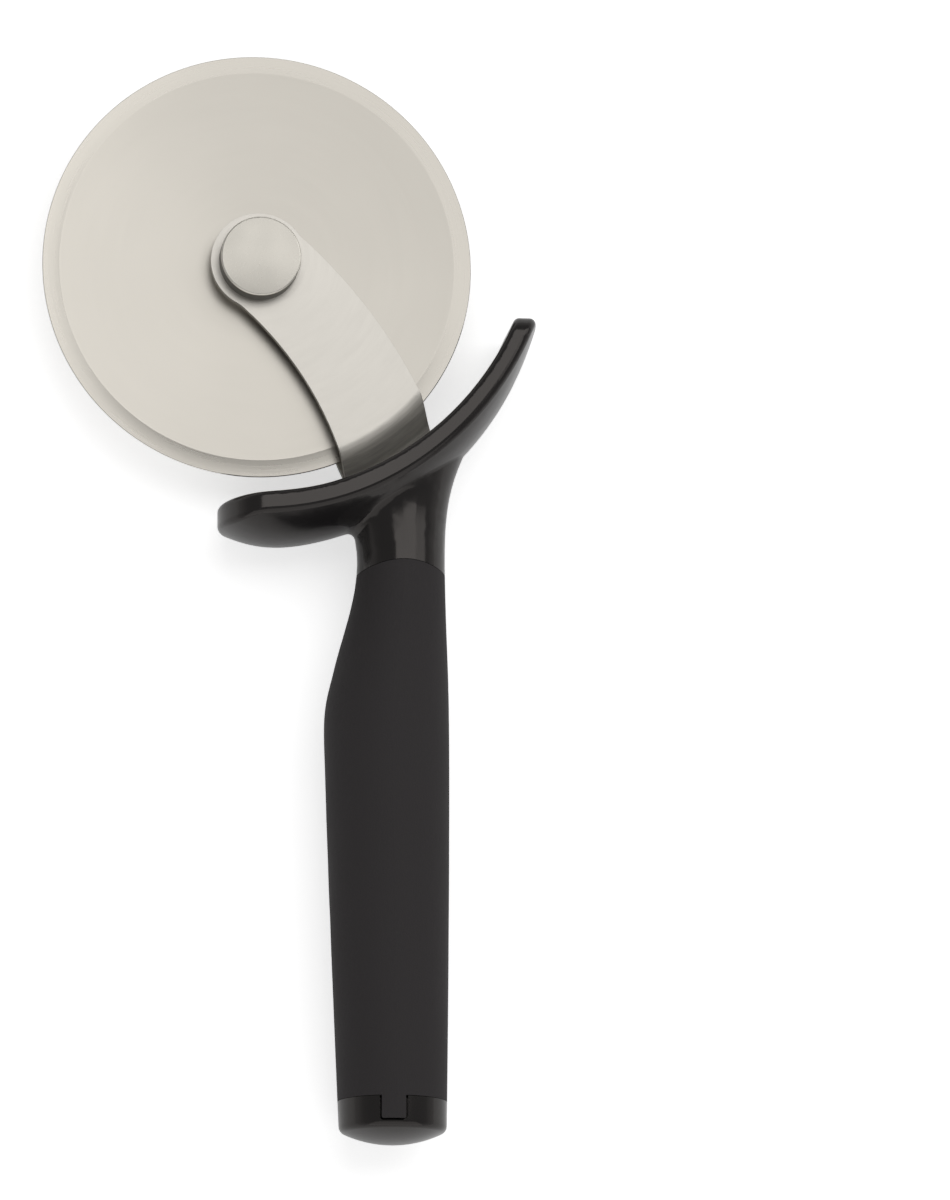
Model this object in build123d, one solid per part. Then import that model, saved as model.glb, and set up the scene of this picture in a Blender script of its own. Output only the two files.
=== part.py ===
from build123d import *
from math import atan, cos, radians, sin, sqrt, tan
import os

os.makedirs("parts", exist_ok=True)

# The cutter lies on its side: +Z runs along the axle and +Y up the handle to the wheel.
# It is drawn about the middle of the axle, in millimetres, and moved to the foot of its box at the end.

# Cutting wheel
wheel_diameter = 101.6
wheel_thickness = 1.2
bevel_width = 4.0
edge_thickness = 0.2
hub_bore = 12.0

# Hub, washers and the two-part rivet that is the axle
shank_diameter = 7.0
running_fit = 0.05
press_fit = 0.01
hub_flange_diameter = 18.0
hub_flange_height = 1.6
side_play = 0.10
washer_diameter = 20.0
head_diameter = 19.0
head_wall = 5.4
head_dome = 0.4
head_round = 0.4
socket_depth = 2.4

# Fork arms, stamped from sheet and joggled inwards past the rim of the wheel
arm_thickness = 1.8
arm_spread = 12.8
eye_diameter = 22.9
eye_blend = 9.0
rim_overlap = 1.0
joggle_run = 5.5
joggle_bend = 4.5
tang_width = 12.0
tang_run = 58.0
tang_round = 3.0
tang_shoulder_rise = 3.0
slot_fit = 0.05
# Where the edges of an arm leave its eye: share of the eye's radius, then polar angle in degrees
arm_right_root_share = (0.966, 55.0)
arm_left_root_share = (0.961, -126.0)
# The rest of each edge: share of the guard's radius, then polar angle
arm_right_shares = [(0.4085, -16.6), (0.877, -39.3), (1.03, -44.6)]
arm_left_shares = [(0.471, -70.75), (0.926, -67.4), (1.02, -67.9)]

# Finger guard, a crowned bow that follows the rim of the wheel
rim_gap = 5.9
guard_radius = wheel_diameter / 2 + rim_gap
guard_depth = 30.0
guard_band = 4.7
guard_height = 10.5
guard_inner_round = 0.8
guard_outer_round = 2.0
guard_trim = 0.03
guard_left_tip_share = 0.16
guard_left_round = 10.7
guard_right_tip_share = 0.235
guard_right_round = 5.0
guard_tip_round = 1.5
neck_blend = 1.8
# Stations round the bow: polar angle, then shares of inner radius, band and height
guard_shares = [
    (-102.0, 1.046, 0.60, 0.28),
    (-95.5, 1.020, 0.86, 0.69),
    (-89.0, 1.002, 1.0, 0.97),
    (-81.0, 0.998, 1.0, 1.04),
    (-71.0, 0.999, 1.0, 1.01),
    (-61.0, 1.001, 1.0, 1.0),
    (-49.0, 1.011, 1.0, 0.88),
    (-37.0, 1.028, 1.0, 0.78),
    (-25.0, 1.053, 1.0, 0.67),
    (-14.0, 1.082, 1.0, 0.57),
    (-6.0, 1.105, 1.0, 0.50),
]

# Handle outline: axis, width and depth at three stations, each a run below the one before
neck_run = 13.3
neck_axis_share = 0.605
neck_width = 20.6
neck_depth = 20.2
belly_run = 41.0
belly_shift = 3.4
belly_width = 29.4
belly_depth = 29.6
taper_run = 87.6
butt_shift = 1.5
butt_width = 25.6
butt_depth = 25.4
cap_run = 6.8
end_dome = 3.2
end_round = 1.8
taper_power_share = 1.3
form_steps = 20

# Flare of the neck up into the guard, as growth of each side
flare_cover = 9.0
flare_left = 9.6
flare_right = 5.7
flare_inset = 0.2
flare_left_power_share = 1.5
flare_right_power_share = 2.6
flare_depth_power_share = 3.0

# Soft grip, core and end cap
neck_seam_run = 4.0
neck_seam_rise = 2.5
seam_gap = 0.12
grip_wall = 2.6
bond_gap = 0.02
tongue_width = 5.6
tongue_length = 5.4
tongue_depth = 2.4
tongue_offset = 0.8
tongue_round = 0.5
notch_gap = 0.5
plug_width = 14.0
plug_length = 4.4
plug_round = 2.0
pin_diameter = 3.0
pin_shares = [0.38, 0.83]
pin_recess = 2.0

overrun = 60.0

# Distances from the axle that follow from these
joggle_start = wheel_diameter / 2 - rim_overlap
joggle_end = joggle_start + joggle_run
neck_reach = guard_radius + neck_run
neck_axis = guard_radius * neck_axis_share
flare_corner = neck_axis + neck_width / 2 + flare_right
flare_top = sqrt((guard_radius + flare_cover) ** 2 - flare_corner ** 2)
flare_depth = (guard_depth - neck_depth) / 2 - flare_inset
neck_seam_reach = neck_reach + neck_seam_run
tang_shoulder = neck_reach - tang_shoulder_rise
tang_reach = neck_reach + tang_run
pin_reaches = [neck_reach + share * tang_run for share in pin_shares]
belly_reach = neck_reach + belly_run
belly_axis = neck_axis - belly_shift
butt_reach = belly_reach + taper_run
butt_axis = belly_axis + butt_shift
end_reach = butt_reach + cap_run
guard_left_tip = guard_radius * guard_left_tip_share
guard_right_tip = guard_radius * guard_right_tip_share


def at_angle(radius, angle):
    """Point of the wheel's plane at a polar angle about the axle."""
    return Vector(radius * cos(radians(angle)), radius * sin(radians(angle)))


def turned(points):
    """Solid of revolution about the axle from (radius, height) points."""
    outline = make_face(Plane.XZ * Polyline(*points, close=True))
    return revolve(outline, Axis.Z)


def disc(diameter, bottom, top):
    """Round plate about the axle between two heights."""
    return Pos(0, 0, bottom) * Cylinder(
        diameter / 2, top - bottom, align=(Align.CENTER, Align.CENTER, Align.MIN)
    )


# Cutting wheel, its moulded hub and the washers

def cutting_wheel():
    rim, half, edge = wheel_diameter / 2, wheel_thickness / 2, edge_thickness / 2
    blank = turned([
        (0, -half), (rim - bevel_width, -half), (rim, -edge),
        (rim, edge), (rim - bevel_width, half), (0, half),
    ])
    return blank - disc(hub_bore, -wheel_thickness, wheel_thickness)


def wheel_hub():
    half = wheel_thickness / 2
    flange_top = half + hub_flange_height
    bore = shank_diameter / 2 + running_fit
    neck, flange = hub_bore / 2 - press_fit, hub_flange_diameter / 2
    return turned([
        (bore, -flange_top), (flange, -flange_top), (flange, -half), (neck, -half),
        (neck, half), (flange, half), (flange, flange_top), (bore, flange_top),
    ])


def washer(side):
    inner = wheel_thickness / 2 + hub_flange_height + side_play
    outer = arm_spread / 2 - arm_thickness
    ring = disc(washer_diameter, inner, outer)
    ring -= disc(shank_diameter + 2 * running_fit, 0, arm_spread)
    return ring if side > 0 else mirror(ring, Plane.XY)


def rivet_head():
    """Low dome on a short wall, standing on an arm's outer face."""
    foot = arm_spread / 2
    shoulder, crown = foot + head_wall, foot + head_wall + head_dome
    rim = head_diameter / 2
    wall = Polyline((0, crown), (0, foot), (rim, foot), (rim, shoulder))
    dome = ThreePointArc((rim, shoulder), (rim / 2, shoulder + head_dome * 3 / 4), (0, crown))
    head = revolve(Plane.XZ * make_face([wall, dome]), Axis.Z)
    rims = [edge for edge in head.edges().filter_by(GeomType.CIRCLE) if edge.center().Z > foot]
    return fillet(rims[0], head_round)


def axle_rivet():
    foot = arm_spread / 2
    return rivet_head() + disc(shank_diameter, -foot - socket_depth + press_fit, foot)


def rear_rivet_cap():
    foot = arm_spread / 2
    socket = disc(shank_diameter + 2 * press_fit, -foot - socket_depth, 0)
    return mirror(rivet_head(), Plane.XY) - socket


# Fork arms

def arm_outline(clearance):
    """Flat shape of an arm: eye, swept blade and the tang that runs down the handle."""
    eye = eye_diameter / 2
    right, left = [
        [at_angle(root[0] * eye, root[1])] + [at_angle(share * guard_radius, angle) for share, angle in rest]
        for root, rest in (
            (arm_right_root_share, arm_right_shares), (arm_left_root_share, arm_left_shares)
        )
    ]
    half = tang_width / 2
    blade = make_face([
        ThreePointArc(*right[:3]),
        Polyline(
            right[2], right[3],
            (neck_axis + half, -tang_shoulder + half), (neck_axis + half, -tang_reach),
            (neck_axis - half, -tang_reach), (neck_axis - half, -tang_shoulder),
            left[3], left[2],
        ),
        ThreePointArc(*reversed(left[:3])),
        Line(left[0], right[0]),
    ])
    blade = fillet(blade.vertices().sort_by(Axis.Y)[:2], tang_round)
    shape = blade + Circle(eye)
    crotch = shape.vertices().sort_by_distance(at_angle(eye, arm_left_root_share[1]))[0]
    shape = fillet(crotch, eye_blend)
    return offset(shape, clearance, kind=Kind.INTERSECTION) if clearance else shape


def arm_sheet(bottom_open, clearance):
    """Joggled sheet turned about the axle, or all the space below it down to mid-plane."""
    inner, outer = arm_spread / 2 - arm_thickness, arm_spread / 2
    lean = arm_thickness * tan(atan(inner / (joggle_end - joggle_start)) / 2)
    reach = tang_reach + overrun
    top = [
        (reach, arm_thickness + clearance), (joggle_end + lean, arm_thickness + clearance),
        (joggle_start + lean, outer + clearance), (0, outer + clearance),
    ]
    low = [(0, 0)] if bottom_open else [(0, inner), (joggle_start, inner), (joggle_end, 0)]
    profile = make_face(Plane.XZ * Polyline(*low, (reach, 0), *top, close=True))
    bends = profile.vertices().filter_by_position(Axis.X, joggle_start - lean, joggle_end + 2 * lean)
    for bend in bends:
        outside = bend.Z > inner + press_fit or abs(bend.Z) < press_fit
        corner = profile.vertices().sort_by_distance(bend)[0]
        profile = fillet(corner, joggle_bend + arm_thickness if outside else joggle_bend)
    return revolve(profile, Axis.Z)


def fork_arm(side):
    arm = extrude(arm_outline(0), arm_spread) & arm_sheet(False, 0)
    arm -= disc(shank_diameter + 2 * press_fit, 0, arm_spread)
    for reach in pin_reaches:
        arm -= pin_hole(reach)
    return arm if side > 0 else mirror(arm, Plane.XY)


def arm_pocket():
    """Space that the two arms take in the moulding."""
    upper = extrude(arm_outline(slot_fit), arm_spread) & arm_sheet(True, slot_fit)
    return upper + mirror(upper, Plane.XY)


# Handle

def eased(share):
    return share * share * (3 - 2 * share)


def handle_station(reach):
    """Left edge, right edge and depth of the handle at a distance down from the axle."""
    if reach < neck_reach:
        rise = (neck_reach - reach) / (neck_reach - flare_top)
        left = neck_axis - neck_width / 2 - flare_left * rise ** flare_left_power_share
        right = neck_axis + neck_width / 2 + flare_right * rise ** flare_right_power_share
        return left, right, neck_depth + 2 * flare_depth * rise ** flare_depth_power_share
    if reach < belly_reach:
        share = eased((reach - neck_reach) / (belly_reach - neck_reach))
        axis = neck_axis + (belly_axis - neck_axis) * share
        width = neck_width + (belly_width - neck_width) * share
        depth = neck_depth + (belly_depth - neck_depth) * share
        return axis - width / 2, axis + width / 2, depth
    run = (reach - belly_reach) / (butt_reach - belly_reach)
    share = run ** taper_power_share
    axis = belly_axis + (butt_axis - belly_axis) * run
    width = belly_width + (butt_width - belly_width) * share
    depth = belly_depth + (butt_depth - belly_depth) * share
    return axis - width / 2, axis + width / 2, depth


def handle_form(inset):
    """Whole handle lofted through oval stations, drawn in all round by the inset."""
    end = end_reach + 2 * end_dome
    ovals = []
    for step in range(form_steps + 1):
        reach = flare_top + (end - flare_top) * step / form_steps
        left, right, depth = handle_station(reach)
        spot = Plane(origin=((left + right) / 2, -reach, 0), x_dir=(1, 0, 0), z_dir=(0, -1, 0))
        ovals.append(spot * Ellipse((right - left) / 2 - inset, depth / 2 - inset))
    return loft(ovals)


def between(start, end):
    """Everything between two distances down from the axle."""
    return block(-guard_left_tip, 2 * guard_radius, -end, -start, -guard_depth, guard_depth)


def seam_drum(gap):
    """Round cutter whose wall is the curved seam between neck and grip."""
    half = neck_depth / 2
    radius = (half * half + neck_seam_rise * neck_seam_rise) / (2 * neck_seam_rise)
    drum = Cylinder(radius + gap, 2 * overrun, rotation=(0, 90, 0))
    return Pos(neck_axis, radius - neck_seam_reach, 0) * drum


def block(left, right, low, high, bottom, top):
    """Box between six coordinates."""
    middle = Pos((left + right) / 2, (low + high) / 2, (bottom + top) / 2)
    return middle * Box(right - left, high - low, top - bottom)


def guard_section(angle, inner_share, band_share, height_share):
    """Radial slice of the guard: two flat side faces, a plain inside and a crowned underside."""
    inner = inner_share * guard_radius
    shoulder = inner + band_share * guard_band
    crown = inner + height_share * guard_height
    half = guard_depth / 2 + guard_trim
    walls = Polyline((shoulder, -half), (inner, -half), (inner, half), (shoulder, half))
    piece = make_face([walls, ThreePointArc((shoulder, half), (crown, 0), (shoulder, -half))])
    piece = fillet(piece.vertices().group_by(Axis.X)[-1], guard_outer_round * band_share)
    piece = fillet(piece.vertices().group_by(Axis.X)[0], guard_inner_round * band_share)
    across = at_angle(1, angle)
    return Plane(origin=(0, 0, 0), x_dir=across, z_dir=(across.Y, -across.X, 0)) * piece


def guard_limits():
    """Plan outlines that round the two free ends of the bow."""
    far = guard_radius + overrun
    start = -guard_left_tip
    nose = Pos(start + guard_left_round, 0) * Ellipse(guard_left_round, guard_depth / 2)
    tail = Pos(start + guard_left_round + far / 2, 0) * Rectangle(far, guard_depth)
    side_on = extrude(Plane.XZ * (nose + tail), far, both=True)
    slab = Rectangle(far, guard_depth)
    slab = fillet(slab.vertices().group_by(Axis.X)[-1], guard_right_round)
    end_on = extrude(Plane.YZ * Pos(-guard_right_tip - far / 2, 0) * slab, far, both=True)
    return side_on & end_on


def guard_bow():
    bow = loft([guard_section(*station) for station in guard_shares]) & guard_limits()
    tip_line = -guard_right_tip - guard_right_round
    ends = [
        edge for edge in bow.edges()
        if edge.center().X < -guard_left_tip / 2 or edge.center().Y > tip_line
    ]
    return fillet(ends, guard_tip_round)


def guard_well():
    """The space inside the bow, reaching a little way into it."""
    skin = guard_inner_round
    rim = [at_angle(station[1] * guard_radius + skin, station[0]) for station in guard_shares]
    mouth = make_face([Spline(*rim), Polyline(rim[-1], (0, 0), rim[0])])
    return extrude(mouth, guard_depth, both=True)


def guard_and_neck(outer):
    """Bow of the guard blended into the neck that stands under it."""
    bow = guard_bow()
    neck = outer & (seam_drum(-seam_gap / 2) + between(0, neck_reach - neck_seam_rise))
    neck = (neck & between(flare_top, neck_seam_reach + neck_seam_rise)) - guard_well()
    joined = bow + neck
    return fillet(new_edges(bow, neck, combined=joined), neck_blend)


def core_and_plug(inner):
    """Hard core that the grip is moulded on, with the plug that holds the end cap."""
    core = inner & between(neck_reach, butt_reach)
    half = plug_width / 2
    plug = block(
        butt_axis - half, butt_axis + half,
        -butt_reach - plug_length, -butt_reach + plug_length, -half, half,
    )
    return core + fillet(plug.edges().filter_by(Axis.Y), plug_round)


def pin_hole(reach):
    return Pos(neck_axis, -reach, 0) * Cylinder(pin_diameter / 2 + press_fit, 2 * belly_depth)


def handle_body(outer, inner):
    body = guard_and_neck(outer) + core_and_plug(inner) - arm_pocket()
    for reach in pin_reaches:
        body -= pin_hole(reach)
    return body


def tongue_space(clearance):
    """Block round the tongue of the grip, in the front of the end cap."""
    half = tongue_width / 2 + clearance
    middle = butt_axis - tongue_offset
    space = block(
        middle - half, middle + half, -butt_reach - tongue_length - clearance, -butt_reach + tongue_round,
        butt_depth / 2 - tongue_depth - clearance / 2, butt_depth,
    )
    corners = space.edges().filter_by(Axis.Z).group_by(Axis.Y)[0]
    return fillet(corners, tongue_round + clearance)


def grip_sleeve(outer, inner):
    sleeve = (outer & between(neck_reach - neck_seam_rise, butt_reach)) - seam_drum(seam_gap / 2) - inner
    return sleeve + (outer & tongue_space(0))


def end_cap(outer):
    half = butt_width / 2
    dome_radius = (half * half + end_dome * end_dome) / (2 * end_dome)
    bottom = end_reach + end_dome
    cap = outer & between(butt_reach + seam_gap, bottom + end_dome)
    cap &= Pos(butt_axis, dome_radius - bottom, 0) * Sphere(dome_radius)
    rim = [edge for edge in cap.edges() if edge.center().Y < -end_reach + end_round]
    cap = fillet(rim, end_round)
    socket = plug_width / 2 + slot_fit
    hollow = block(
        butt_axis - socket, butt_axis + socket,
        -butt_reach - plug_length - slot_fit, -butt_reach + plug_length, -socket, socket,
    )
    return cap - tongue_space(notch_gap) - fillet(hollow.edges().filter_by(Axis.Y), plug_round)


def tang_pins():
    pins = []
    for reach in pin_reaches:
        depth = handle_station(reach)[2] - 2 * (grip_wall + pin_recess)
        pins.append(Pos(neck_axis, -reach, 0) * Cylinder(pin_diameter / 2, depth))
    return Compound(pins)


outside = handle_form(0)
nodes = {
    "cutting_wheel": cutting_wheel(),
    "wheel_hub": wheel_hub(),
    "front_washer": washer(1),
    "rear_washer": washer(-1),
    "axle_rivet": axle_rivet(),
    "rear_rivet_cap": rear_rivet_cap(),
    "front_arm": fork_arm(1),
    "rear_arm": fork_arm(-1),
    "handle_body": handle_body(outside, handle_form(grip_wall + bond_gap)),
    "grip_sleeve": grip_sleeve(outside, handle_form(grip_wall)),
    "end_cap": end_cap(outside),
    "tang_pins": tang_pins(),
}

# The origin is the foot of the middle of the whole tool's box
box = Compound(list(nodes.values())).bounding_box()
foot = Pos(-box.center().X, -box.center().Y, -box.min.Z)
for name, shape in nodes.items():
    export_step(foot * shape, f"parts/{name}.step")

print("axle at", -box.center().X, -box.center().Y, -box.min.Z)
print("size", box.size.X, box.size.Y, box.size.Z)
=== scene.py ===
import math

import bmesh
import bpy
from mathutils import Matrix, Vector


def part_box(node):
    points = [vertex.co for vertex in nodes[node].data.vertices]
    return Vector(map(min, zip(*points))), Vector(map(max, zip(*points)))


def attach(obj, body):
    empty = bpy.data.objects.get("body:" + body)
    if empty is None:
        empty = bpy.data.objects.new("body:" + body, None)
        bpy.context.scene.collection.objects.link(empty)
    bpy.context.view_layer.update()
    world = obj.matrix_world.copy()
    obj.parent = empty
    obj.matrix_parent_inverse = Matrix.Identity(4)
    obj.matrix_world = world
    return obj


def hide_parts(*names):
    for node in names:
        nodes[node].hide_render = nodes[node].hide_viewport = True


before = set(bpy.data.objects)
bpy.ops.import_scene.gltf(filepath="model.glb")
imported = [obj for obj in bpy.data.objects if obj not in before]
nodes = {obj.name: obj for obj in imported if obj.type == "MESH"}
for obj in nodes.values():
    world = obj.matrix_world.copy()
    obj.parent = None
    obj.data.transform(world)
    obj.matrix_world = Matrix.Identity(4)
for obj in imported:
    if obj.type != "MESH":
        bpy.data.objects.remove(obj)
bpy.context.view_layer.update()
print("frame loaded")


def middleOf(node):
    low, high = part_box(node)
    return (low + high) / 2


axle = middleOf("axle_rivet")
axle.z = middleOf("cutting_wheel").z


# Small tools for material nodes

def newMaterial(name):
    material = bpy.data.materials.new(name)
    material.use_nodes = True
    tree = material.node_tree
    return material, tree, tree.nodes["Principled BSDF"]


def feed(tree, socket, value):
    if isinstance(value, bpy.types.NodeSocket):  # another node's output is linked, a number is set
        tree.links.new(value, socket)
    else:
        socket.default_value = value


def mathNode(tree, operation, *values):
    node = tree.nodes.new("ShaderNodeMath")
    node.operation = operation
    for socket, value in zip(node.inputs, values):
        feed(tree, socket, value)
    return node.outputs[0]


def added(tree, *values):
    return mathNode(tree, "ADD", *values)


def times(tree, *values):
    return mathNode(tree, "MULTIPLY", *values)


def vectorNode(tree, operation, *values):
    node = tree.nodes.new("ShaderNodeVectorMath")
    node.operation = operation
    for socket, value in zip(node.inputs, values):
        feed(tree, socket, value)
    return node


# A smooth step: start below low, end above high
def ramped(tree, value, low, high, start=0.0, end=1.0):
    node = tree.nodes.new("ShaderNodeMapRange")
    node.interpolation_type = "SMOOTHSTEP"
    for socket, setting in zip(node.inputs, (value, low, high, start, end)):
        feed(tree, socket, setting)
    return node.outputs[0]


mostOfNoise = (0.2, 0.8)  # nearly all of a noise pattern lies between these
middleOfNoise = (0.3, 0.7)


# A value that wavers about its middle with a noise pattern
def wavering(tree, pattern, middle, swing):
    return ramped(tree, pattern, *mostOfNoise, middle - swing, middle + swing)


# The middle of a noise pattern, spread out to run from start to end
def spread(tree, pattern, start=0.0, end=1.0):
    return ramped(tree, pattern, *middleOfNoise, start, end)


def noiseNode(tree, vector, scale, detail=2.0, rough=0.5):
    node = tree.nodes.new("ShaderNodeTexNoise")
    tree.links.new(vector, node.inputs["Vector"])
    for name, value in (("Scale", scale), ("Detail", detail), ("Roughness", rough)):
        node.inputs[name].default_value = value
    return node.outputs["Fac"]


# Object coordinates measured from the axle
def fromAxle(tree):
    coords = tree.nodes.new("ShaderNodeTexCoord")
    return vectorNode(tree, "SUBTRACT", coords.outputs["Object"], tuple(axle)).outputs[0]


def parted(tree, vector):
    node = tree.nodes.new("ShaderNodeSeparateXYZ")
    tree.links.new(vector, node.inputs[0])
    return node.outputs


def distanceFrom(tree, place):
    flat = vectorNode(tree, "MULTIPLY", place, (1, 1, 0))
    return vectorNode(tree, "LENGTH", flat.outputs[0]).outputs["Value"]


def bumped(tree, shader, height, depth):
    bump = tree.nodes.new("ShaderNodeBump")
    bump.inputs["Strength"].default_value = 1
    feed(tree, bump.inputs["Distance"], depth)
    tree.links.new(height, bump.inputs["Height"])
    tree.links.new(bump.outputs[0], shader.inputs["Normal"])


def blended(tree, factor, dark, light):
    mix = tree.nodes.new("ShaderNodeMix")
    mix.data_type = "RGBA"
    feed(tree, mix.inputs["Factor"], factor)
    mix.inputs["A"].default_value = (*dark, 1)
    mix.inputs["B"].default_value = (*light, 1)
    return mix.outputs["Result"]


def tinted(tree, shader, factor, dark, light):
    tree.links.new(blended(tree, factor, dark, light), shader.inputs["Base Color"])


def shaded(look):
    return tuple(channel * look["drift"] for channel in look["colour"])


# Steel

# Fine rings round the axle that change slowly along their length
def ringGrain(tree, place, look):
    x, y = parted(tree, place)[:2]
    ring = tree.nodes.new("ShaderNodeCombineXYZ")
    feed(tree, ring.inputs[0], times(tree, distanceFrom(tree, place), look["rings"]))
    feed(tree, ring.inputs[1], times(tree, x, look["broken"]))
    feed(tree, ring.inputs[2], times(tree, y, look["broken"]))
    return noiseNode(tree, ring.outputs[0], scale=1.0, detail=3.0, rough=0.6)


# The disc: a ringed satin face with painted shade that darkens it towards +X and +Y, and a ground bevel that
# is darker, smoother and more deeply scored
discFinish = {
    "colour": (0.55, 0.522, 0.472), "drift": 0.75, "toneRange": (-0.5, 1.0),
    "paintedShadeSlant": -7.0, "cloudScale": 22.0, "cloud": 0.45, "streak": 0.05,
    "roughness": 0.33, "waver": 0.012, "anisotropy": 0.2, "rotation": 0.25,
    "rings": 2400, "broken": 45, "grain": 0.0000008,
    "bevel": 0.0041, "bevelSoft": 0.0001, "bevelTone": 0.97, "bevelStreak": 0.35,
    "bevelGrain": 0.000006, "bevelRoughness": -0.05,
}


def discMaterial():
    material, tree, shader = newMaterial("satinDisc")
    look = discFinish
    low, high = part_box("cutting_wheel")
    root = (high.x - low.x) / 2 - look["bevel"]
    place = fromAxle(tree)
    x, y = parted(tree, place)[:2]
    grain = ringGrain(tree, place, look)
    cloud = noiseNode(tree, place, look["cloudScale"])
    soft = look["bevelSoft"]
    ground = ramped(tree, distanceFrom(tree, place), root - soft, root + soft)
    streaks = added(tree, times(tree, ground, look["bevelStreak"]), look["streak"])
    # Painted shade: a straight slant across the disc, darker towards +X and +Y
    paintedShadeSlant = times(tree, added(tree, x, y), look["paintedShadeSlant"])
    tone = added(tree, paintedShadeSlant, times(tree, cloud, look["cloud"]))
    tone = added(tree, tone, times(tree, grain, streaks))
    steel = blended(tree, ramped(tree, tone, *look["toneRange"]), shaded(look), look["colour"])
    lift = vectorNode(tree, "SCALE", steel)
    feed(tree, lift.inputs["Scale"], ramped(tree, ground, 0, 1, 1, look["bevelTone"]))
    tree.links.new(lift.outputs[0], shader.inputs["Base Color"])
    shader.inputs["Metallic"].default_value = 1
    satin = wavering(tree, grain, look["roughness"], look["waver"])
    rough = added(tree, satin, times(tree, ground, look["bevelRoughness"]))
    feed(tree, shader.inputs["Roughness"], rough)
    shader.inputs["Anisotropic"].default_value = look["anisotropy"]
    shader.inputs["Anisotropic Rotation"].default_value = look["rotation"]
    tangent = tree.nodes.new("ShaderNodeTangent")
    tangent.direction_type, tangent.axis = "RADIAL", "Z"
    tree.links.new(tangent.outputs[0], shader.inputs["Tangent"])
    bumped(tree, shader, grain, ramped(tree, ground, 0, 1, look["grain"], look["bevelGrain"]))
    return material


# The arms: the press marks the bend with streaks, and the flat has next to none
armFinish = {
    "colour": (0.545, 0.522, 0.48), "drift": 0.8, "roughness": 0.35, "waver": 0.015,
    "rings": 1500, "broken": 110, "grain": 0.0000012, "streak": 0.05,
    "cloudScale": 35.0, "cloud": 0.2,
    "bend": (0.048, 0.0515), "bendStreak": 0.95, "bendRoughness": 0.42, "bendGrain": 0.00005,
}


def armMaterial():
    material, tree, shader = newMaterial("satinArm")
    look = armFinish
    place = fromAxle(tree)
    grain = ringGrain(tree, place, look)
    cloud = noiseNode(tree, place, look["cloudScale"])
    pressed = ramped(tree, distanceFrom(tree, place), *look["bend"])
    drawn = added(tree, times(tree, pressed, look["bendStreak"]), look["streak"])
    worn = times(tree, spread(tree, grain), drawn)
    tone = added(tree, worn, times(tree, cloud, look["cloud"]))
    tinted(tree, shader, tone, look["colour"], shaded(look))
    shader.inputs["Metallic"].default_value = 1
    satin = wavering(tree, grain, look["roughness"], look["waver"])
    rough = added(tree, satin, times(tree, pressed, look["bendRoughness"]))
    feed(tree, shader.inputs["Roughness"], rough)
    bumped(tree, shader, grain, ramped(tree, pressed, 0, 1, look["grain"], look["bendGrain"]))
    return material


# The rivet: its rounded edge carries a painted highlight and its drawn wall painted shade, set by how level
# the surface is; the satin face keeps the plain steel colour, and the edge and wall are rougher.
# The ranges say how level the surface is where each one fades: 0 on the wall, 1 on the face.
rivetFinish = {
    # edge is the colour of the painted highlight on the rounded edge; face scales it to plain steel on the
    # top, and the wall gets painted shade
    "edge": (0.89, 0.85, 0.77), "face": 0.505, "faceRange": (0.93, 0.99),
    "wall": 0.21, "wallRange": (0.0, 0.25), "rim": 0.15, "rimRange": (0.3, 0.97),
    "drift": 0.9, "cloudScale": 90.0, "roughness": 0.28, "waver": 0.008,
    "pitch": 3500.0, "grain": 0.0000002,
}


def rivetMaterial():
    material, tree, shader = newMaterial("turnedRivet")
    look = rivetFinish
    place = fromAxle(tree)
    fine = noiseNode(tree, place, look["pitch"])
    cloud = noiseNode(tree, place, look["cloudScale"], detail=1.0)
    facing = tree.nodes.new("ShaderNodeNewGeometry")
    level = mathNode(tree, "ABSOLUTE", parted(tree, facing.outputs["Normal"])["Z"])
    # Painted shade on the wall and a painted highlight on the rounded edge: the colour follows how level the
    # surface is
    wall = ramped(tree, level, *look["wallRange"], look["wall"], 1.0)
    face = ramped(tree, level, *look["faceRange"], 1.0, look["face"])
    tone = times(tree, spread(tree, cloud, look["drift"], 1.0), times(tree, wall, face))
    tinted(tree, shader, tone, (0, 0, 0), look["edge"])
    shader.inputs["Metallic"].default_value = 1
    satin = wavering(tree, fine, look["roughness"], look["waver"])
    rubbed = ramped(tree, level, *look["rimRange"], look["rim"], 0.0)
    feed(tree, shader.inputs["Roughness"], added(tree, satin, rubbed))
    bumped(tree, shader, fine, look["grain"])
    return material


# Plastics

glossFinish = {
    "colour": (0.012, 0.0112, 0.0115), "drift": 0.85, "cloudScale": 60.0,
    "roughness": (0.12, 0.195), "warmLightTint": (1.0, 0.93, 0.88, 1.0),
}


def glossMaterial():
    material, tree, shader = newMaterial("glossBlack")
    look = glossFinish
    cloud = noiseNode(tree, fromAxle(tree), look["cloudScale"], detail=3.0)
    tinted(tree, shader, cloud, shaded(look), look["colour"])
    feed(tree, shader.inputs["Roughness"], spread(tree, cloud, *look["roughness"]))
    # Painted warm light: the reflections are tinted warm in place of warm softboxes
    shader.inputs["Specular Tint"].default_value = look["warmLightTint"]
    return material


gripFinish = {
    "colour": (0.041, 0.0375, 0.0385), "drift": 0.9, "cloudScale": 45.0,
    "roughness": 0.66, "waver": 0.04, "sheen": 0.15, "pitch": 2600, "grain": 0.00002,
}


def gripMaterial():
    material, tree, shader = newMaterial("softGrip")
    look = gripFinish
    place = fromAxle(tree)
    cloud = noiseNode(tree, place, look["cloudScale"])
    tinted(tree, shader, cloud, shaded(look), look["colour"])
    rough = wavering(tree, cloud, look["roughness"], look["waver"])
    feed(tree, shader.inputs["Roughness"], rough)
    shader.inputs["Specular IOR Level"].default_value = look["sheen"]
    bumped(tree, shader, noiseNode(tree, place, look["pitch"]), look["grain"])
    return material


nylonFinish = {"colour": (0.80, 0.79, 0.75), "drift": 0.93, "cloudScale": 150.0, "roughness": 0.45}


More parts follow.
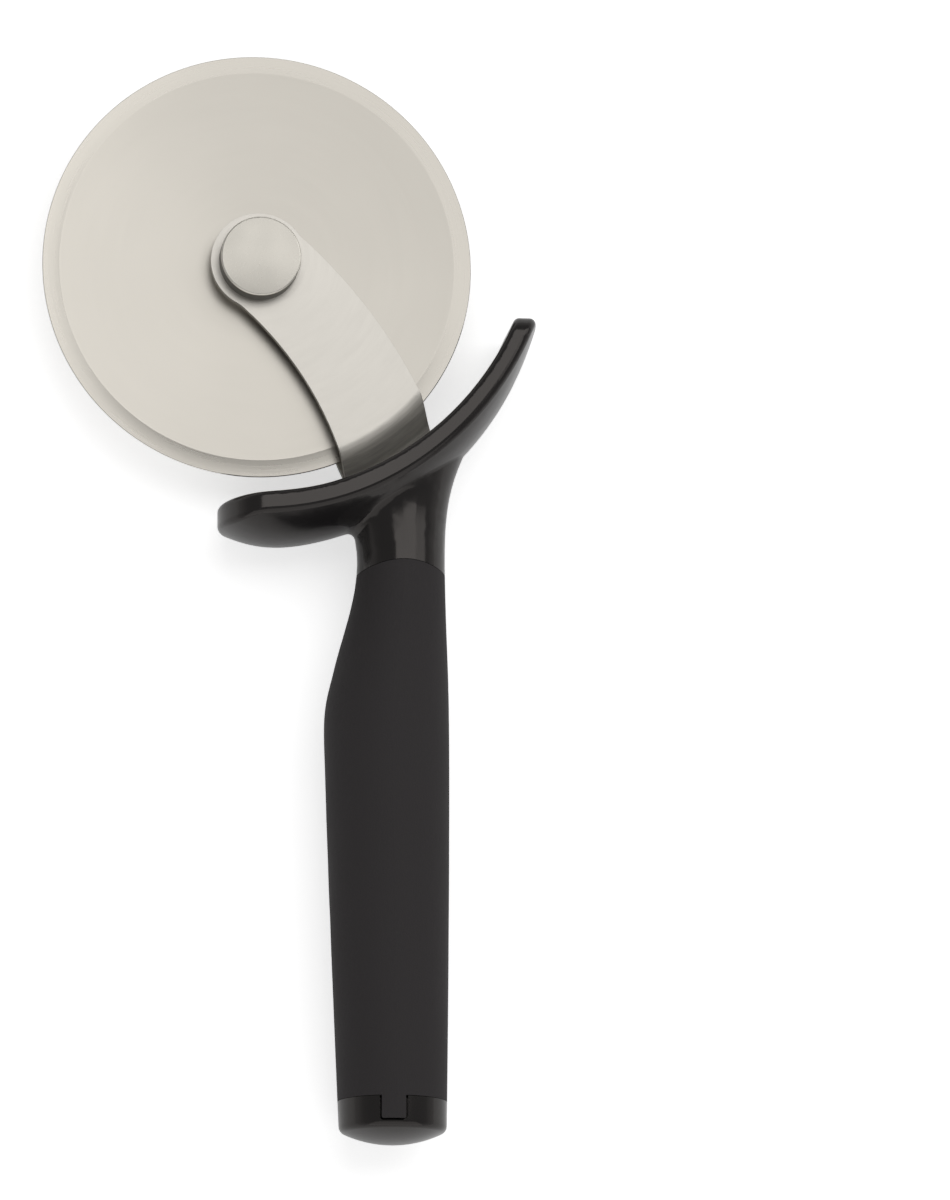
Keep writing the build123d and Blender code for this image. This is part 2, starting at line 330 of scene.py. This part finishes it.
def nylonMaterial():
    material, tree, shader = newMaterial("naturalNylon")
    look = nylonFinish
    cloud = noiseNode(tree, fromAxle(tree), look["cloudScale"], detail=3.0)
    tinted(tree, shader, cloud, shaded(look), look["colour"])
    shader.inputs["Roughness"].default_value = look["roughness"]
    return material


def clothe(mesh, material):
    mesh.materials.clear()
    mesh.materials.append(material)


def dress(material, *names):
    for name in names:
        clothe(nodes[name].data, material)


dress(rivetMaterial(), "axle_rivet", "rear_rivet_cap", "tang_pins")
gloss = glossMaterial()
dress(gloss, "handle_body", "end_cap")
dress(gripMaterial(), "grip_sleeve")
dress(nylonMaterial(), "wheel_hub", "front_washer", "rear_washer")
print("materials made")


# Pieces that are made anew

def placedObject(name, data):
    thing = bpy.data.objects.new(name, data)
    bpy.context.scene.collection.objects.link(thing)
    return thing


def finishPiece(piece, slot, body, *replaced):
    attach(piece, body)
    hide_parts(*replaced)


# Bakes a piece's live modifiers into a plain mesh
def modelled(piece):
    graph = bpy.context.evaluated_depsgraph_get()
    mesh = bpy.data.meshes.new_from_object(piece.evaluated_get(graph))
    old = piece.data
    piece.modifiers.clear()
    piece.data = mesh
    bpy.data.meshes.remove(old)
    mesh.name = piece.name


# Nodes that turn a closed profile round a guide circle about the object's own Z axis
def turningGroup():
    group = bpy.data.node_groups.new("turning", "GeometryNodeTree")
    group.interface.new_socket("Geometry", in_out="INPUT", socket_type="NodeSocketGeometry")
    sockets = {}
    for name, kind in (("Steps", "Int"), ("Guide", "Float"), ("Centre", "Vector"), ("Finish", "Material")):
        socket = group.interface.new_socket(name, in_out="INPUT", socket_type="NodeSocket" + kind)
        sockets[name] = socket.identifier
    group.interface.new_socket("Geometry", in_out="OUTPUT", socket_type="NodeSocketGeometry")
    given, made = group.nodes.new("NodeGroupInput"), group.nodes.new("NodeGroupOutput")
    profile = group.nodes.new("GeometryNodeMeshToCurve")
    circle = group.nodes.new("GeometryNodeCurvePrimitiveCircle")
    upright = group.nodes.new("GeometryNodeSetCurveNormal")
    upright.mode = "Z_UP"
    turned = group.nodes.new("GeometryNodeCurveToMesh")
    shifted = group.nodes.new("GeometryNodeTransform")
    realized = group.nodes.new("GeometryNodeRealizeInstances")
    finish = group.nodes.new("GeometryNodeSetMaterial")
    join = group.links.new
    join(given.outputs["Geometry"], profile.inputs[0])
    join(given.outputs["Steps"], circle.inputs["Resolution"])
    join(given.outputs["Guide"], circle.inputs["Radius"])
    join(circle.outputs["Curve"], upright.inputs[0])
    join(upright.outputs[0], turned.inputs["Curve"])
    join(profile.outputs[0], turned.inputs["Profile Curve"])
    join(turned.outputs[0], shifted.inputs["Geometry"])
    join(given.outputs["Centre"], shifted.inputs["Translation"])
    join(shifted.outputs[0], realized.inputs[0])
    join(realized.outputs[0], finish.inputs["Geometry"])
    join(given.outputs["Finish"], finish.inputs["Material"])
    join(finish.outputs[0], made.inputs[0])
    return group, sockets


turning, turningSockets = turningGroup()


# A ring turned round the axle; its profile lists (radius, height) round the section
def turnedPiece(name, profile, steps, material):
    guide = profile[0][0]
    mesh = bpy.data.meshes.new(name)
    corners = [(radius - guide, -height, 0) for radius, height in profile]
    mesh.from_pydata(corners, [(i, (i + 1) % len(corners)) for i in range(len(corners))], [])
    piece = placedObject(name, mesh)
    maker = piece.modifiers.new("turning", "NODES")
    maker.node_group = turning
    for socket, value in (("Steps", steps), ("Guide", guide), ("Centre", tuple(axle)), ("Finish", material)):
        maker[turningSockets[socket]] = value
    modelled(piece)
    shape = bmesh.new()
    shape.from_mesh(piece.data)
    bmesh.ops.recalc_face_normals(shape, faces=shape.faces)
    shape.to_mesh(piece.data)
    shape.free()
    return piece


# Pizza wheel: flat faces, a hollow-ground bevel and a fine cutting edge
wheel = {
    "steps": 360, "bore": 0.006, "bevelStart": 0.0468, "bevelEnd": 0.05064, "bevelDrop": 0.00034,
    "hollow": 0.4, "hollowSteps": 8, "edge": 0.0001, "edgeSlope": 0.00005, "crease": math.radians(2.2),
}


# The grind is steep beside the flat face and shallower towards the edge
def groundBevel(half):
    start, span = wheel["bevelStart"], wheel["bevelEnd"] - wheel["bevelStart"]
    points = []
    for step in range(1, wheel["hollowSteps"] + 1):
        along = step / wheel["hollowSteps"]
        drop = wheel["bevelDrop"] * along * (1 + wheel["hollow"] * (1 - along))
        points.append((start + span * along, half - drop))
    return points


def makeWheel():
    low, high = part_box("cutting_wheel")
    rim, half = min(high.x - axle.x, axle.x - low.x), (high.z - low.z) / 2
    front = [
        (wheel["bevelStart"], half), *groundBevel(half),
        (rim - wheel["edgeSlope"], wheel["edge"]), (rim, wheel["edge"] / 2),
    ]
    rear = [(radius, -height) for radius, height in reversed(front)]
    profile = [(wheel["bore"], half), *front, *rear, (wheel["bore"], -half)]
    piece = turnedPiece("turned_wheel", profile, wheel["steps"], discMaterial())
    piece.data.shade_smooth()
    piece.data.set_sharp_from_angle(angle=wheel["crease"])
    finishPiece(piece, "disc_steel", "wheel", "cutting_wheel")


makeWheel()
print("wheel made")


# A copy of a CAD mesh with its doubled points merged
def mergedCopy(node, name, merge, sliver=0):
    shape = bmesh.new()
    shape.from_mesh(nodes[node].data)
    bmesh.ops.remove_doubles(shape, verts=shape.verts, dist=merge)
    if sliver:
        bmesh.ops.dissolve_degenerate(shape, edges=shape.edges, dist=sliver)
    mesh = bpy.data.meshes.new(name)
    shape.to_mesh(mesh)
    shape.free()
    return mesh


def smoothAll(mesh):
    for name in ("custom_normal", "sharp_edge", "sharp_face"):
        layer = mesh.attributes.get(name)
        if layer:
            mesh.attributes.remove(layer)
    mesh.shade_smooth()


# Fork arms: the pressed strips with their edges softened
softening = {
    "width": 0.00028, "segments": 2, "angle": math.radians(38), "weight": 90,
    "merge": 0.000002, "sliver": 0.000001,
}


def softArm(node, material):
    mesh = mergedCopy(node, "soft_" + node, softening["merge"], softening["sliver"])
    smoothAll(mesh)
    piece = placedObject("soft_" + node, mesh)
    bevel = piece.modifiers.new("edges", "BEVEL")
    bevel.width, bevel.segments = softening["width"], softening["segments"]
    bevel.limit_method, bevel.angle_limit = "ANGLE", softening["angle"]
    shading = piece.modifiers.new("shading", "WEIGHTED_NORMAL")
    shading.mode, shading.weight = "FACE_AREA", softening["weight"]
    modelled(piece)
    clothe(piece.data, material)
    finishPiece(piece, "arm_steel", "handle", node)


armSteel = armMaterial()
softArm("front_arm", armSteel)
softArm("rear_arm", armSteel)
print("arms made")

# Guard, neck and core: the moulded body, with the shading of its flared neck evened out.
# The neck lies between two corners, low and high, and the skin at its front and back stays.
easing = {
    "low": (0.019, 0.0098), "high": (0.037, 0.0275), "skin": 0.0007, "rounds": 3,
    "pull": 0.5, "agree": math.cos(math.radians(28)), "merge": 0.000001,
}


# Each corner of a mesh: its loop, its point and a key that the same corner of its copy shares
def cornersOf(mesh):
    def rounded(point):
        return tuple(round(value * 1e6) for value in point)  # in micrometres

    for face in mesh.polygons:
        for loop, vert in zip(face.loop_indices, face.vertices):
            yield loop, vert, (rounded(mesh.vertices[vert].co), rounded(face.center))


# The normals of the CAD mesh, carried over to the corners of its merged copy
def carriedNormals(source, mesh):
    known = {key: source.corner_normals[loop].vector.copy() for loop, vert, key in cornersOf(source)}
    normals = [Vector(corner.vector) for corner in mesh.corner_normals]
    for loop, vert, key in cornersOf(mesh):
        normals[loop] = known.get(key, normals[loop])
    return normals


# Points of the neck where all corners agree, so that no crease is softened
def neckPoints(mesh, around, field):
    low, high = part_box("handle_body")
    (left, bottom), (right, top), skin = easing["low"], easing["high"], easing["skin"]
    inside = set()
    for vert, normal in field.items():
        x, y, z = mesh.vertices[vert].co
        boxed = left < x < right and bottom < y < top and low.z + skin < z < high.z - skin
        if boxed and all(normal.dot(other) > easing["agree"] for other in around[vert]):
            inside.add(vert)
    return inside


def neighboursOf(mesh, inside, field):
    links = {vert: [] for vert in inside}
    for edge in mesh.edges:
        one, other = edge.vertices
        for near, far in ((one, other), (other, one)):
            if near in inside and field[near].dot(field[far]) > easing["agree"]:
                links[near].append(far)
    return links


def easedBody():
    mesh = mergedCopy("handle_body", "moulded_body", easing["merge"])
    normals = carriedNormals(nodes["handle_body"].data, mesh)
    around = {}
    for loop, vert, key in cornersOf(mesh):
        around.setdefault(vert, []).append(normals[loop])
    field = {vert: sum(corners, Vector()).normalized() for vert, corners in around.items()}
    inside = neckPoints(mesh, around, field)
    links = neighboursOf(mesh, inside, field)
    for step in range(easing["rounds"]):
        fresh = {}
        for vert, others in links.items():
            if others:
                mean = sum((field[other] for other in others), Vector()) / len(others)
                fresh[vert] = field[vert].lerp(mean, easing["pull"]).normalized()
        field.update(fresh)
    for loop, vert, key in cornersOf(mesh):
        if vert in inside:
            normals[loop] = field[vert]
    smoothAll(mesh)
    mesh.normals_split_custom_set([tuple(normal) for normal in normals])
    clothe(mesh, gloss)
    piece = placedObject("moulded_body", mesh)
    finishPiece(piece, "gloss_black", "handle", "handle_body")
    print("body eased at", len(inside), "points")


easedBody()


# Table, light and camera

table = {"reach": 9.0, "colour": (0.93, 0.93, 0.93, 1), "roughness": 0.9, "glow": 0.6, "inGloss": 0.3}


def makeTable():
    mesh = bpy.data.meshes.new("table")
    reach = table["reach"]
    corners = [(-reach, -reach, 0), (reach, -reach, 0), (reach, reach, 0), (-reach, reach, 0)]
    mesh.from_pydata(corners, [], [(0, 1, 2, 3)])
    top = placedObject("table", mesh)
    material, tree, shader = newMaterial("paleTable")
    shader.inputs["Base Color"].default_value = table["colour"]
    shader.inputs["Roughness"].default_value = table["roughness"]
    shader.inputs["Emission Color"].default_value = (1, 1, 1, 1)
    # Only the camera sees the table white; metal and gloss see it dimmer, and it keeps the shadow
    path = tree.nodes.new("ShaderNodeLightPath").outputs
    mirrored = mathNode(tree, "MAXIMUM", path["Is Glossy Ray"], path["Is Transmission Ray"])
    seen = mathNode(tree, "MAXIMUM", path["Is Camera Ray"], times(tree, mirrored, table["inGloss"]))
    tree.links.new(times(tree, seen, table["glow"]), shader.inputs["Emission Strength"])
    mesh.materials.append(material)


makeTable()

# Brightness of the studio's walls by height above the horizon, as (sine of the height, brightness)
walls = [(0.0, 0.56), (0.2, 0.45), (0.36, 0.29), (0.62, 0.24), (1.0, 0.24)]


def makeWalls():
    world = bpy.data.worlds.new("studio")
    bpy.context.scene.world = world
    world.use_nodes = True
    tree = world.node_tree
    coords = tree.nodes.new("ShaderNodeTexCoord")
    ramp = tree.nodes.new("ShaderNodeValToRGB")
    tree.links.new(parted(tree, coords.outputs["Generated"])["Z"], ramp.inputs[0])
    stops = ramp.color_ramp.elements
    while len(stops) < len(walls):
        stops.new(0.5)
    for stop, (height, level) in zip(stops, walls):
        stop.position, stop.color = height, (level, level, level, 1)
    tree.links.new(ramp.outputs[0], tree.nodes["Background"].inputs["Color"])


makeWalls()

# Soft boxes: middle, the point they face, width and height, and brightness
softboxes = {
    "overhead": {"place": (0.25, 0.62, 1.25), "target": (0.25, 0.62, 0), "size": (1.28, 1.06), "level": 1.45},
    "rightSide": {"place": (1.19, 0.65, 1.07), "target": (0, 0.65, 0), "size": (0.9, 0.7), "level": 1.1},
    "south": {"place": (0.1, -1.05, 0.75), "target": (0.1, 0, 0), "size": (2.4, 1.5), "level": 0.55},
}


def makeSoftbox(name, place, target, size, level):
    data = bpy.data.lights.new(name, "AREA")
    data.shape = "RECTANGLE"
    data.size, data.size_y = size
    data.energy = level * math.pi * size[0] * size[1]
    lamp = placedObject(name, data)
    lamp.location = place
    lamp.rotation_euler = (Vector(place) - Vector(target)).to_track_quat("Z", "Y").to_euler()


for name, box in softboxes.items():
    makeSoftbox(name, **box)
print("table and light made")

# The camera stands off the axle and looks down, turned a little towards +X and +Y
viewpoint = {
    "fromAxle": (-0.20475, -0.53746, 2.43476), "towards": (0.103, 0.184),
    "lens": 317.4, "sensor": 36, "clip": (0.1, 60),
}


def makeCamera():
    across, along = viewpoint["towards"]
    back = Vector((-across, -along, math.sqrt(1 - across ** 2 - along ** 2)))
    up = Vector((0, 1, 0)) - back * back.y
    up.normalize()
    turn = Matrix((up.cross(back), up, back)).transposed()
    data = bpy.data.cameras.new("camera")
    data.lens, data.sensor_width = viewpoint["lens"], viewpoint["sensor"]
    data.clip_start, data.clip_end = viewpoint["clip"]
    camera = placedObject("camera", data)
    camera.matrix_world = Matrix.Translation(axle + Vector(viewpoint["fromAxle"])) @ turn.to_4x4()
    bpy.context.scene.camera = camera


makeCamera()
bpy.context.scene.view_settings.view_transform = "Standard"
print("camera made")
